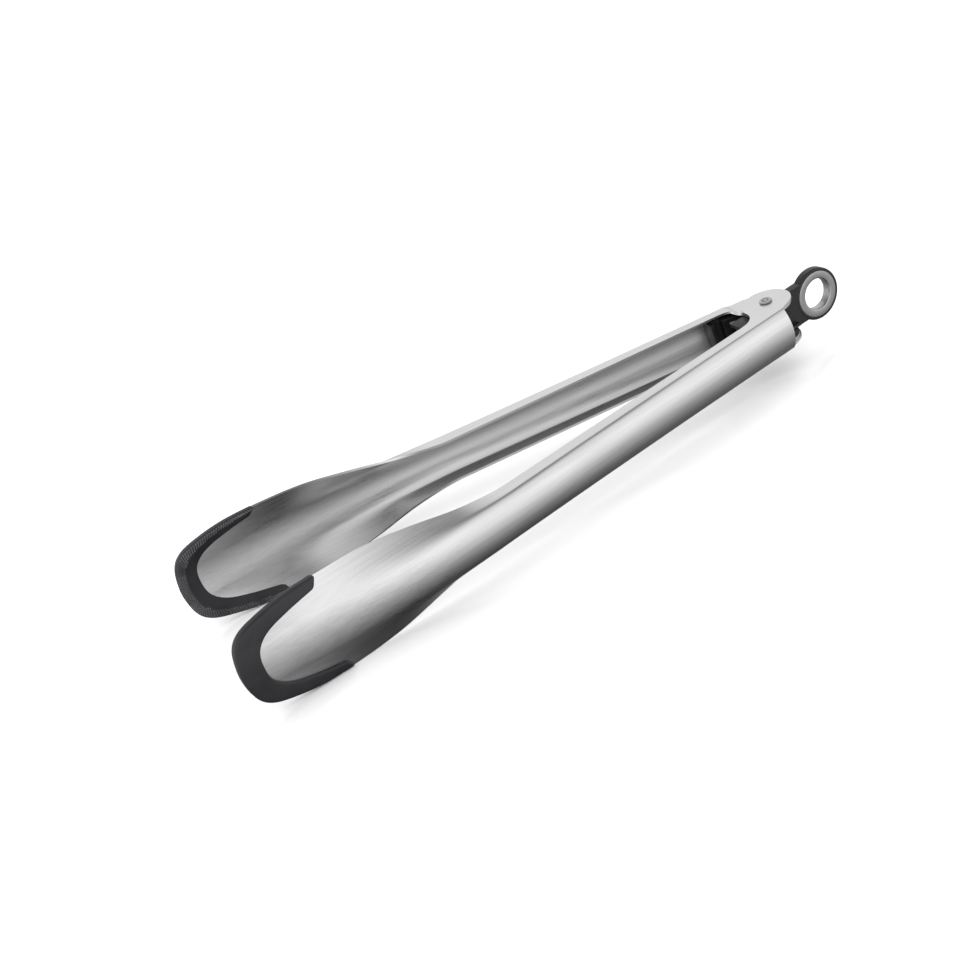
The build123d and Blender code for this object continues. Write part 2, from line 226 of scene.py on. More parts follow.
def node_copy(node: str, name: str) -> bpy.types.Object:
    """A merged copy of a CAD node's mesh, with its flat areas as single faces.

    Args:
        node: The CAD node.
        name: The copy's name.

    Returns:
        The copy.
    """
    merge_mm, flat_degrees = 0.002, 0.5
    work = bmesh.new()
    work.from_mesh(frame["nodes"][node].data)
    bmesh.ops.remove_doubles(work, verts=work.verts, dist=merge_mm * MM)
    bmesh.ops.dissolve_limit(
        work, angle_limit=math.radians(flat_degrees), verts=work.verts, edges=work.edges
    )
    mesh = bpy.data.meshes.new(name)
    work.to_mesh(mesh)
    work.free()
    mesh.shade_smooth()
    obj = bpy.data.objects.new(name, mesh)
    bpy.context.scene.collection.objects.link(obj)
    return obj


def soften(obj: bpy.types.Object, width: float, angle: float = 35.0, segments: int = 3) -> None:
    """Rounds the sharp edges of a piece.

    Args:
        obj: The piece.
        width: Width of the rounding.
        angle: Least angle between faces that counts as an edge, in degrees.
        segments: Faces across the rounding.
    """
    bevel = obj.modifiers.new("rounded_edges", "BEVEL")
    bevel.width = width * MM
    bevel.segments = segments
    bevel.limit_method = "ANGLE"
    bevel.angle_limit = math.radians(angle)
    bevel.harden_normals = True
    bevel.use_clamp_overlap = True


def catmull(points: list[Pair], count: int) -> list[Pair]:
    """Even points along a smooth curve through the given ones.

    Args:
        points: Points that the curve goes through.
        count: How many points to return.

    Returns:
        The points, evenly spaced along the curve.
    """
    padded = [points[0]] + points + [points[-1]]
    fine: list[Pair] = []
    steps = 24
    for a, b, c, d in zip(padded, padded[1:], padded[2:], padded[3:]):
        for i in range(steps):
            t = i / steps
            fine.append(tuple(
                0.5 * (2 * q + (r - p) * t + (2 * p - 5 * q + 4 * r - w) * t * t
                       + (3 * q - p - 3 * r + w) * t ** 3)
                for p, q, r, w in zip(a, b, c, d)
            ))
    fine.append(points[-1])
    lengths = [0.0]
    for p, q in zip(fine, fine[1:]):
        lengths.append(lengths[-1] + math.dist(p, q))
    even: list[Pair] = []
    k = 0
    for i in range(count):
        target = lengths[-1] * i / (count - 1)
        while k < len(lengths) - 2 and lengths[k + 1] < target:
            k += 1
        share = (target - lengths[k]) / max(lengths[k + 1] - lengths[k], 1e-9)
        even.append(tuple(p + share * (q - p) for p, q in zip(fine[k], fine[k + 1])))
    return even


def smooth(t: float) -> float:
    """A smooth step from 0 to 1, held outside that range."""
    t = min(max(t, 0.0), 1.0)
    return t * t * (3 - 2 * t)


# ---------------------------------------------------------------- finishes


def linear(code: str) -> tuple[float, float, float, float]:
    """An sRGB hex colour as linear red, green, blue and alpha.

    Args:
        code: Colour such as "#c8c8c4".

    Returns:
        The linear colour.
    """
    parts = [int(code[i:i + 2], 16) / 255 for i in (1, 3, 5)]
    cut, low, gamma, lift = 0.04045, 12.92, 2.4, 0.055
    return (*[p / low if p <= cut else ((p + lift) / (1 + lift)) ** gamma for p in parts], 1.0)


def add_node(tree: bpy.types.NodeTree, kind: str, inputs: dict | None = None,
             **settings: object) -> bpy.types.Node:
    """Adds a node with its settings and links.

    Args:
        tree: The node tree.
        kind: The node's type.
        inputs: Value or output socket for each input, by name or number.
        **settings: Properties of the node itself.

    Returns:
        The node.
    """
    node = tree.nodes.new(kind)
    for key, value in settings.items():
        setattr(node, key, value)
    for key, value in (inputs or {}).items():
        if isinstance(value, bpy.types.NodeSocket):
            tree.links.new(value, node.inputs[key])
        else:
            node.inputs[key].default_value = value
    return node


def ramp(tree: bpy.types.NodeTree, fac: bpy.types.NodeSocket,
         stops: list[tuple[float, str]]) -> bpy.types.Node:
    """A colour ramp node.

    Args:
        tree: The node tree.
        fac: What drives the ramp.
        stops: Positions and hex colours.

    Returns:
        The node.
    """
    node = add_node(tree, "ShaderNodeValToRGB", {"Fac": fac})
    elements = node.color_ramp.elements
    while len(elements) < len(stops):
        elements.new(1.0)
    for element, (position, code) in zip(elements, stops):
        element.position = position
        element.color = linear(code)
    return node


@dataclass(frozen=True)
class Finish:
    """What every finish has: its name, its shader's fixed values and where its pattern lies."""

    name: str

    def start(self, turn: float = 0.0, stretch: tuple[float, float, float] = (1, 1, 1)) -> tuple:
        """A new material with its shader and its turned and stretched coordinates.

        Args:
            turn: Turn of the pattern about the rivet's direction, in radians.
            stretch: Repeats per metre along, across and up.

        Returns:
            The material, its tree, its shader and the coordinates' socket.
        """
        material = bpy.data.materials.new(self.name)
        material.use_nodes = True
        tree = material.node_tree
        tree.nodes.clear()
        shader = add_node(tree, "ShaderNodeBsdfPrincipled")
        add_node(tree, "ShaderNodeOutputMaterial", {"Surface": shader.outputs["BSDF"]})
        place = add_node(tree, "ShaderNodeTexCoord")
        # Turned back first and stretched after, so the two are separate nodes.
        level = add_node(
            tree, "ShaderNodeMapping", {"Vector": place.outputs["Object"], "Rotation": (0, 0, -turn)}
        )
        spread = add_node(tree, "ShaderNodeMapping", {"Vector": level.outputs["Vector"], "Scale": stretch})
        return material, tree, shader, spread.outputs["Vector"]


@dataclass(frozen=True)
class BrushedStainless(Finish):
    """Stainless sheet, belt brushed along the arm and then satin polished.

    The brushing gives long faint streaks along the arm and spreads every reflection across them, so the arms
    show soft bands of light instead of a mirror image.
    """

    turn: float
    light: str = "#d6d6d6"
    dark: str = "#cacaca"
    streak_width: float = 0.8
    streak_length: float = 90.0
    smudge: float = 26.0

    def make(self) -> bpy.types.Material:
        """The material."""
        fine = 1 / (self.streak_width * MM)
        stretch = (1 / (self.streak_length * MM), fine, fine)
        material, tree, shader, place = self.start(self.turn, stretch)
        shader.inputs["Metallic"].default_value = 1.0
        streaks = add_node(
            tree, "ShaderNodeTexNoise", {"Vector": place, "Scale": 1.0, "Detail": 2.0, "Roughness": 0.5}
        )
        whole = add_node(tree, "ShaderNodeTexCoord")
        touched = add_node(tree, "ShaderNodeTexNoise", {
            "Vector": whole.outputs["Object"], "Scale": 1 / (self.smudge * MM),
            "Detail": 3.0, "Roughness": 0.55,
        })
        colour = ramp(tree, streaks.outputs["Fac"], [(0.3, self.dark), (0.7, self.light)])
        gloss = add_node(tree, "ShaderNodeMapRange", {
            "Value": streaks.outputs["Fac"], "From Min": 0.2, "From Max": 0.8, "To Min": 0.24, "To Max": 0.32,
        })
        wear = add_node(tree, "ShaderNodeMapRange", {
            "Value": touched.outputs["Fac"], "From Min": 0.35, "From Max": 0.7, "To Min": 0.0, "To Max": 0.05,
        })
        rough = add_node(tree, "ShaderNodeMath", {0: gloss.outputs["Result"], 1: wear.outputs["Result"]},
                         operation="ADD")
        relief = add_node(tree, "ShaderNodeBump", {
            "Height": streaks.outputs["Fac"], "Strength": 0.06, "Distance": 0.01 * MM,
        })
        tree.links.new(colour.outputs["Color"], shader.inputs["Base Color"])
        tree.links.new(rough.outputs["Value"], shader.inputs["Roughness"])
        tree.links.new(relief.outputs["Normal"], shader.inputs["Normal"])
        return material


@dataclass(frozen=True)
class TurnedSteel(Finish):
    """Polished stainless turned parts and drawn wire.

    They are brighter than the sheet, with fine scratches that break the highlights up.
    """

    light: str = "#b4b4b4"
    dark: str = "#8e8e8e"
    rough_low: float = 0.14
    rough_high: float = 0.26
    scratch: float = 0.35

    def make(self) -> bpy.types.Material:
        """The material."""
        fine = 1 / (self.scratch * MM)
        material, tree, shader, place = self.start(0.0, (fine, fine, fine * 3))
        shader.inputs["Metallic"].default_value = 1.0
        marks = add_node(
            tree, "ShaderNodeTexNoise", {"Vector": place, "Scale": 1.0, "Detail": 5.0, "Roughness": 0.65}
        )
        colour = ramp(tree, marks.outputs["Fac"], [(0.35, self.dark), (0.6, self.light)])
        gloss = add_node(tree, "ShaderNodeMapRange", {
            "Value": marks.outputs["Fac"], "From Min": 0.3, "From Max": 0.7,
            "To Min": self.rough_low, "To Max": self.rough_high,
        })
        relief = add_node(tree, "ShaderNodeBump", {
            "Height": marks.outputs["Fac"], "Strength": 0.08, "Distance": 0.02 * MM,
        })
        tree.links.new(colour.outputs["Color"], shader.inputs["Base Color"])
        tree.links.new(gloss.outputs["Result"], shader.inputs["Roughness"])
        tree.links.new(relief.outputs["Normal"], shader.inputs["Normal"])
        return material


@dataclass(frozen=True)
class MouldedPolymer(Finish):
    """Black silicone or nylon, moulded against a fine spark eroded tool face.

    The grain breaks up the gloss into a soft grey sheen, and raised edges look a little paler.
    """

    light: str
    dark: str
    rough_low: float
    rough_high: float
    grain: float
    relief: float

    def make(self) -> bpy.types.Material:
        """The material."""
        fine = 1 / (self.grain * MM)
        material, tree, shader, place = self.start(0.0, (fine, fine, fine))
        shader.inputs["IOR"].default_value = 1.46
        grain = add_node(tree, "ShaderNodeTexVoronoi", {"Vector": place, "Scale": 1.0})
        whole = add_node(tree, "ShaderNodeTexCoord")
        cloudy_mm = 9.0
        cloud = add_node(tree, "ShaderNodeTexNoise", {
            "Vector": whole.outputs["Object"], "Scale": 1 / (cloudy_mm * MM), "Detail": 4.0, "Roughness": 0.6,
        })
        colour = ramp(tree, cloud.outputs["Fac"], [(0.3, self.dark), (0.72, self.light)])
        gloss = add_node(tree, "ShaderNodeMapRange", {
            "Value": cloud.outputs["Fac"], "From Min": 0.3, "From Max": 0.7,
            "To Min": self.rough_low, "To Max": self.rough_high,
        })
        bump = add_node(tree, "ShaderNodeBump", {
            "Height": grain.outputs["Distance"], "Strength": self.relief, "Distance": 0.03 * MM,
        })
        tree.links.new(colour.outputs["Color"], shader.inputs["Base Color"])
        tree.links.new(gloss.outputs["Result"], shader.inputs["Roughness"])
        tree.links.new(bump.outputs["Normal"], shader.inputs["Normal"])
        return material


def dress(obj: bpy.types.Object, material: bpy.types.Material) -> None:
    """Gives a piece one material all over."""
    obj.data.materials.clear()
    obj.data.materials.append(material)


def settle(obj: bpy.types.Object, body: str, slot: str, *stands_for: str) -> None:
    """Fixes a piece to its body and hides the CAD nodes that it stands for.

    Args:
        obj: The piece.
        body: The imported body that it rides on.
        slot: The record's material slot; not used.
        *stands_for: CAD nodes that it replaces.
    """
    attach(obj, body)
    if stands_for:
        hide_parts(*stands_for)
    log.info("%s rides on %s", obj.name, body)


# ---------------------------------------------------------------- the pressed sheet's shape


@dataclass(frozen=True)
class Section:
    """The pressed sheet's outer line at one distance along the arm."""

    along: float
    edge_half: float
    edge_out: float
    crease_half: float
    crease_out: float
    crown: float

    def values(self) -> tuple[float, ...]:
        """The sizes, in order."""
        return (self.along, self.edge_half, self.edge_out, self.crease_half, self.crease_out, self.crown)

    @property
    def bend(self) -> float:
        """Radius of the convex back."""
        return (self.crown ** 2 + self.crease_half ** 2) / (2 * self.crown)

    def back(self, angle: float) -> Pair:
        """The point of the back at an angle from its middle, as (up, out)."""
        top = self.crease_out + self.crown
        return self.bend * math.sin(angle), top - self.bend * (1 - math.cos(angle))

    def wall(self, half: float) -> Pair:
        """The point of the wall or wing's line at a half width, as (up, out)."""
        share = (half - self.crease_half) / (self.edge_half - self.crease_half)
        return half, self.crease_out + share * (self.edge_out - self.crease_out)

    def height(self, up: float) -> Pair:
        """Where the outer face lies above a point of the middle plane.

        Args:
            up: Height above or below the middle plane.

        Returns:
            How far out the face lies, and the stretch of a thickness that is measured outwards there.
        """
        half = abs(up)
        if half <= self.crease_half:
            angle = math.asin(half / self.bend)
            return self.back(angle)[1], 1 / math.cos(angle)
        out = self.wall(half)[1]
        slope = (self.edge_out - self.crease_out) / (self.edge_half - self.crease_half)
        return out, math.hypot(1, slope)

    def line(self, soft: float, limit: float) -> list[Pair]:
        """The whole outer line, from one edge over the back to the other.

        Args:
            soft: How far from the crease its rounding starts.
            limit: Greatest half width; the sheet is cut off there.

        Returns:
            Points as (up, out).
        """
        wall_steps, soft_steps, back_steps = 6, 6, 14
        crease = (self.crease_half, self.crease_out)
        edge = (self.edge_half, self.edge_out)
        if limit < self.edge_half:
            edge = self.wall(limit)
        reach = math.dist(crease, edge)
        soft = min(soft, 0.45 * reach)
        start = tuple(c + (e - c) * soft / reach for c, e in zip(crease, edge))
        last = math.asin(self.crease_half / self.bend) - soft / self.bend
        end = self.back(last)
        half = [tuple(e + (s - e) * i / wall_steps for e, s in zip(edge, start)) for i in range(wall_steps)]
        for i in range(soft_steps):
            t = i / soft_steps
            half.append(tuple(
                s * (1 - t) ** 2 + 2 * c * t * (1 - t) + e * t * t for s, c, e in zip(start, crease, end)
            ))
        half += [self.back(last * (1 - i / back_steps)) for i in range(back_steps)]
        return half + [self.back(0.0)] + [(-up, out) for up, out in reversed(half)]


@dataclass(frozen=True)
class SheetShape:
    """How the sheet's section changes from the rivet to the jaw tip. The same pressing makes both arms."""

    handle_half: float = 9.4
    handle_end: float = 145.0
    crown: float = 3.1
    thickness: float = 1.0
    rim_start: float = 226.0
    jaw: tuple[Section, ...] = (
        Section(165, 12.2, 9.2, 9.8, 16.2, 3.0),
        Section(185, 16.6, 8.4, 10.2, 15.5, 2.8),
        Section(205, 20.2, 8.0, 10.6, 13.9, 2.5),
        Section(226, 21.2, 7.8, 10.8, 11.6, 2.0),
        Section(246, 21.2, 7.2, 10.4, 9.2, 1.4),
        Section(262, 20.4, 6.4, 10.0, 7.3, 0.9),
        Section(274, 20.0, 5.6, 9.6, 6.0, 0.6),
    )

    def crease(self, along: float) -> float:
        """How far out the crease runs on the handle."""
        return 12.3 + 0.0125 * along + 0.00009 * along ** 2

    def edge(self, along: float) -> float:
        """How far out the side wall's inner edge runs on the handle."""
        return 7.0 + 0.012 * along

    def handle(self, along: float, half: float) -> Section:
        """A section of the handle. A narrower channel has the same back, cut off nearer to its middle.

        Args:
            along: Distance from the rivet.
            half: Half width of the channel.

        Returns:
            The section.
        """
        bend = (self.crown ** 2 + self.handle_half ** 2) / (2 * self.crown)
        crown = bend - math.sqrt(bend ** 2 - half ** 2)
        crease = self.crease(along) + self.crown - crown
        return Section(along, half, self.edge(along), half, crease, crown)

    def at(self, along: float, narrowing: float = 0.0) -> Section:
        """The section at any distance, on a smooth curve through the jaw's sections.

        Args:
            along: Distance from the rivet.
            narrowing: How much narrower than the handle the channel's half width is there.

        Returns:
            The section.
        """
        half = self.handle_half
        if along <= self.handle_end:
            return self.handle(along, half - narrowing)
        before_jaw = [self.handle(self.handle_end - 20, half), self.handle(self.handle_end, half)]
        keys = [*before_jaw, *self.jaw, self.jaw[-1]]
        index = max(i for i in range(1, len(keys) - 2) if keys[i].along <= along)
        before, start, end, after = keys[index - 1:index + 3]
        t = (along - start.along) / (end.along - start.along)
        mixed = []
        for p, q, r, w in zip(before.values(), start.values(), end.values(), after.values()):
            enter = (r - p) * (end.along - start.along) / (end.along - before.along)
            leave = (w - q) * (end.along - start.along) / (after.along - start.along)
            mixed.append(
                q * (1 + 2 * t) * (1 - t) ** 2 + enter * t * (1 - t) ** 2
                + r * t * t * (3 - 2 * t) + leave * t * t * (t - 1)
            )
        return Section(*mixed)

    def softness(self, along: float) -> float:
        """How far from the crease its rounding starts: crisp at the rivet, fading into the jaw."""
        return 0.6 + 0.4 * smooth(along / 120) + 1.8 * smooth((along - 150) / 60)

    def jaw_edge(self) -> list[Pair]:
        """The jaw's outline as seen from its back, in (along, up) points from one leg round to the other."""
        half = [(self.rim_start, 21.2), (240.0, 20.7), (252.0, 18.6), (260.6, 15.6), (265.2, 10.2)]
        return half + [(267.0, 0.0)] + [(u, -w) for u, w in reversed(half)]


SHAPE = SheetShape()


# ---------------------------------------------------------------- arms


@dataclass
class PressedArm:
    """One arm: a sheet pressing with a channel handle, two lobes at the rivet and a scoop shaped jaw."""

    side: Side
    rear: float
    lobe_radius: float
    hole_radius: float
    joggle_depth: float
    joggle_rear: float = 11.4
    joggle_front: float = 14.0
    crotch: float = 8.0
    hub_end: float = 24.0
    sheet_end: float = 262.0
    tuck: float = 1.9

    def stations(self) -> list[float]:
        """Distances of the sections, closer together where the arm changes shape."""
        found, along = [], self.rear
        while along < self.sheet_end - 0.4:
            found.append(along)
            step = 0.7 if along < self.hub_end else 3.0 if along < SHAPE.handle_end else 1.5
            along = min(along + step, self.hub_end) if along < self.hub_end else along + step
        return found + [self.sheet_end]

    def limit(self, along: float) -> float:
        """The sheet's greatest half width: where the rim grips it, it is smaller than the jaw."""
        full = 100.0
        if along < SHAPE.rim_start + 1.2:
            return full
        edge = [p for p in catmull(SHAPE.jaw_edge(), 160) if p[1] >= 0]
        return min(edge, key=lambda p: abs(p[0] - along))[1] - self.tuck

    def joggle(self, along: float) -> float:
        """How far the wall has stepped inwards at a distance from the rivet."""
        past = (along - self.joggle_rear) / (self.joggle_front - self.joggle_rear)
        return self.joggle_depth * (1 - smooth(past))

    def section(self, along: float) -> Section:
        """The arm's section, with its narrow rear part."""
        return SHAPE.at(along, self.joggle(along))

    def lobe_outline(self) -> list[Pair]:
        """The wall's free edge by the rivet, in (along, out) points.

        Returns:
            Points from the handle's inner edge, round the crotch and the lobe, to the back's rear corner.
        """
        r, f, edge = self.lobe_radius, self.crotch, SHAPE.edge(8.0)
        # The crotch's centre is a fillet radius below the wall's inner edge and outside the lobe.
        low = edge - f
        centre = (math.sqrt((r + f) ** 2 - low ** 2), low)
        meet = math.atan2(centre[1], centre[0])
        points = []
        for i in range(9):
            angle = math.pi / 2 + (meet + math.pi - math.pi / 2) * i / 8
            points.append((centre[0] + f * math.cos(angle), centre[1] + f * math.sin(angle)))
        section = self.section(self.rear)
        corner = (self.rear, section.crease_out - SHAPE.softness(self.rear))
        reach = math.hypot(*corner)
        leave = math.atan2(corner[1], corner[0]) + math.acos(r / reach)
        steps = 64
        span = math.tau - (leave - meet)
        points += [
            (r * math.cos(meet - span * i / steps), r * math.sin(meet - span * i / steps))
            for i in range(1, steps + 1)
        ]
        return points

    def hub_patch(self, top: list[Pair], front: list[Pair]) -> tuple[list[Pair], list[Face]]:
        """Triangles that fill one wall round the rivet.

        Args:
            top: Points along the crease's rounding, from the rear to the hub's front end.
            front: Points down the wall there, after the last of top.

        Returns:
            The points, with top and front first, and the triangles.
        """
        free = self.lobe_outline()
        start = front[-1][0]
        run = []
        along = start - 1.0
        while along > free[0][0] + 0.5:
            run.append((along, SHAPE.edge(along)))
            along -= 1.0
        loop = top + front + run + free
        hole = [
            (self.hole_radius * math.cos(math.tau * i / 28), self.hole_radius * math.sin(math.tau * i / 28))
            for i in range(28)
        ]
        inner = self.inner_points(loop)
        coords = [Vector(p) for p in loop + hole + inner]
        n, m = len(loop), len(hole)
        edges = [(i, (i + 1) % n) for i in range(n)] + [(n + i, n + (i + 1) % m) for i in range(m)]
        found = delaunay_2d_cdt(coords, edges, [], 1, 1e-5)
        points = [tuple(p) for p in found[0]]
        faces = []
        for face in found[2]:
            middle = [sum(points[k][d] for k in face) / len(face) for d in (0, 1)]
            if math.hypot(*middle) > self.hole_radius and inside(tuple(middle), loop):
                faces.append(list(face))
        return points, faces

    def inner_points(self, loop: list[Pair]) -> list[Pair]:
        """Points inside the hub's wall, in rows that are close together across the joggle."""
        gap = 0.3
        span = self.joggle_front - self.joggle_rear
        rows = [self.joggle_rear + span * i / 8 for i in range(9)]
        rows += [-9.5 + 1.5 * i for i in range(14)] + [15.5 + 1.5 * i for i in range(6)]
        found = []
        for along in rows:
            spots = [(along, -10.2 + 0.8 * i) for i in range(30)]
            clear = self.hole_radius + gap
            found += [
                p for p in spots
                if math.hypot(*p) > clear and inside(p, loop) and min(math.dist(p, q) for q in loop) > gap
            ]
        return found

    def build(self) -> bpy.types.Object:
        """The arm's sheet as one closed mesh.

        Returns:
            The arm's object.
        """
        wall = 6
        along_all = self.stations()
        lines = [self.section(a).line(SHAPE.softness(a), self.limit(a)) for a in along_all]
        width = len(lines[0])
        spots: dict[tuple[float, float, float], int] = {}
        points: list[Vector] = []

        def index(along: float, out: float, up: float) -> int:
            """The number of the vertex at a place, made if it is new."""
            key = (round(along, 3), round(out, 3), round(up, 3))
            if key not in spots:
                spots[key] = len(points)
                points.append(self.side.at(along, out, up))
            return spots[key]

        grid = []
        for along, line in zip(along_all, lines):
            hub = along < self.hub_end - 1e-6
            grid.append([
                None if hub and not wall <= k < width - wall else index(along, out, up)
                for k, (up, out) in enumerate(line)
            ])
        faces = []
        for row, after in zip(grid, grid[1:]):
            for k in range(width - 1):
                corners = [row[k], row[k + 1], after[k + 1], after[k]]
                if None not in corners:
                    faces.append(corners)
        hub = [i for i, a in enumerate(along_all) if a <= self.hub_end + 1e-6]
        for column, mark in ((wall, 1), (width - 1 - wall, -1)):
            up = lines[0][column][0]
            top = [(along_all[i], lines[i][column][1]) for i in hub]
            down = range(1, wall + 1)
            front = [(along_all[hub[-1]], lines[hub[-1]][column - mark * k][1]) for k in down]
            patch, cells = self.hub_patch(top, front)
            full = math.copysign(1, up)
            numbers = [index(a, out, full * (SHAPE.handle_half - self.joggle(a))) for a, out in patch]
            for cell in cells:
                corners = [numbers[k] for k in cell]
                faces.append(corners if mark < 0 else corners[::-1])
        obj = make_object(f"{self.side.label}_arm_sheet", points, faces, flip=self.side is Side.OUTER)
        solid = obj.modifiers.new("sheet_thickness", "SOLIDIFY")
        solid.thickness = SHAPE.thickness * MM
        solid.offset = -1.0
        solid.use_quality_normals = True
        soften(obj, 0.22, angle=50.0)
        return obj

    def dress(self, obj: bpy.types.Object) -> None:
        """Gives the arm its brushed finish and fixes it to its body."""
        name = f"satin_brushed_stainless_{self.side.label}"
        dress(obj, BrushedStainless(name, self.side.turn).make())
        settle(obj, self.side.body, "brushed_steel_sheet", f"{self.side.label}_arm")


def inside(point: Pair, loop: list[Pair]) -> bool:
    """Whether a point lies inside a closed outline.

    Args:
        point: The point.
        loop: The outline's corners.

    Returns:
        True inside.
    """
    x, y = point
    within = False
    for (x1, y1), (x2, y2) in zip(loop, loop[1:] + loop[:1]):
        if (y1 > y) != (y2 > y) and x < x1 + (y - y1) * (x2 - x1) / (y2 - y1):
            within = not within
    return within


# ---------------------------------------------------------------- silicone rims


def stud_tree() -> bpy.types.NodeTree:
    """Geometry nodes that put one small four sided stud on every face of a mesh.

    Returns:
        The node tree, with inputs Stud Width, Stud Height and Stud Material.
    """
    tree = bpy.data.node_groups.new("grip_studs", "GeometryNodeTree")
    face = tree.interface
    face.new_socket("Geometry", in_out="INPUT", socket_type="NodeSocketGeometry")
    for label in ("Stud Width", "Stud Height"):
        face.new_socket(label, in_out="INPUT", socket_type="NodeSocketFloat")
    face.new_socket("Stud Material", in_out="INPUT", socket_type="NodeSocketMaterial")
    face.new_socket("Geometry", in_out="OUTPUT", socket_type="NodeSocketGeometry")
    given = add_node(tree, "NodeGroupInput").outputs
    half = add_node(tree, "ShaderNodeMath", {0: given["Stud Width"], 1: 0.5}, operation="MULTIPLY")
    top = add_node(tree, "ShaderNodeMath", {0: given["Stud Width"], 1: 0.2}, operation="MULTIPLY")
    stud = add_node(tree, "GeometryNodeMeshCone", {
        "Vertices": 4, "Radius Top": top.outputs[0], "Radius Bottom": half.outputs[0],
        "Depth": given["Stud Height"],
    })
    normal = add_node(tree, "GeometryNodeInputNormal")
    run = add_node(tree, "GeometryNodeInputNamedAttribute", {"Name": "along"}, data_type="FLOAT_VECTOR")
    stand = add_node(tree, "FunctionNodeAlignRotationToVector", {"Vector": normal.outputs[0]}, axis="Z")
    face_run = add_node(tree, "FunctionNodeAlignRotationToVector", {
        "Rotation": stand.outputs[0], "Vector": run.outputs[0],
    }, axis="X", pivot_axis="Z")
    kept = add_node(tree, "GeometryNodeStoreNamedAttribute", {
        "Geometry": given["Geometry"], "Name": "stand", "Value": face_run.outputs[0],
    }, data_type="QUATERNION", domain="FACE")
    spots = add_node(tree, "GeometryNodeMeshToPoints", {"Mesh": kept.outputs[0]}, mode="FACES")
    turned = add_node(tree, "GeometryNodeInputNamedAttribute", {"Name": "stand"}, data_type="QUATERNION")
    placed = add_node(tree, "GeometryNodeInstanceOnPoints", {
        "Points": spots.outputs[0], "Instance": stud.outputs["Mesh"], "Rotation": turned.outputs[0],
    })
    real = add_node(tree, "GeometryNodeRealizeInstances", {"Geometry": placed.outputs[0]})
    done = add_node(tree, "GeometryNodeSetMaterial", {
        "Geometry": real.outputs[0], "Material": given["Stud Material"],
    })
    add_node(tree, "NodeGroupOutput", {"Geometry": done.outputs[0]})
    return tree


def grow(obj: bpy.types.Object, tree: bpy.types.NodeTree, values: dict[str, object]) -> None:
    """Runs geometry nodes on a piece and keeps the result as its plain mesh.

    Args:
        obj: The piece.
        tree: The geometry nodes.
        values: Value of each named input.
    """
    modifier = obj.modifiers.new("grow", "NODES")
    modifier.node_group = tree
    for item in tree.interface.items_tree:
        if item.in_out == "INPUT" and item.name in values:
            modifier[item.identifier] = values[item.name]
    bpy.context.view_layer.update()
    evaluated = obj.evaluated_get(bpy.context.evaluated_depsgraph_get())
    mesh = bpy.data.meshes.new_from_object(evaluated)
    obj.modifiers.remove(modifier)
    mesh.name = obj.name
    obj.data = mesh


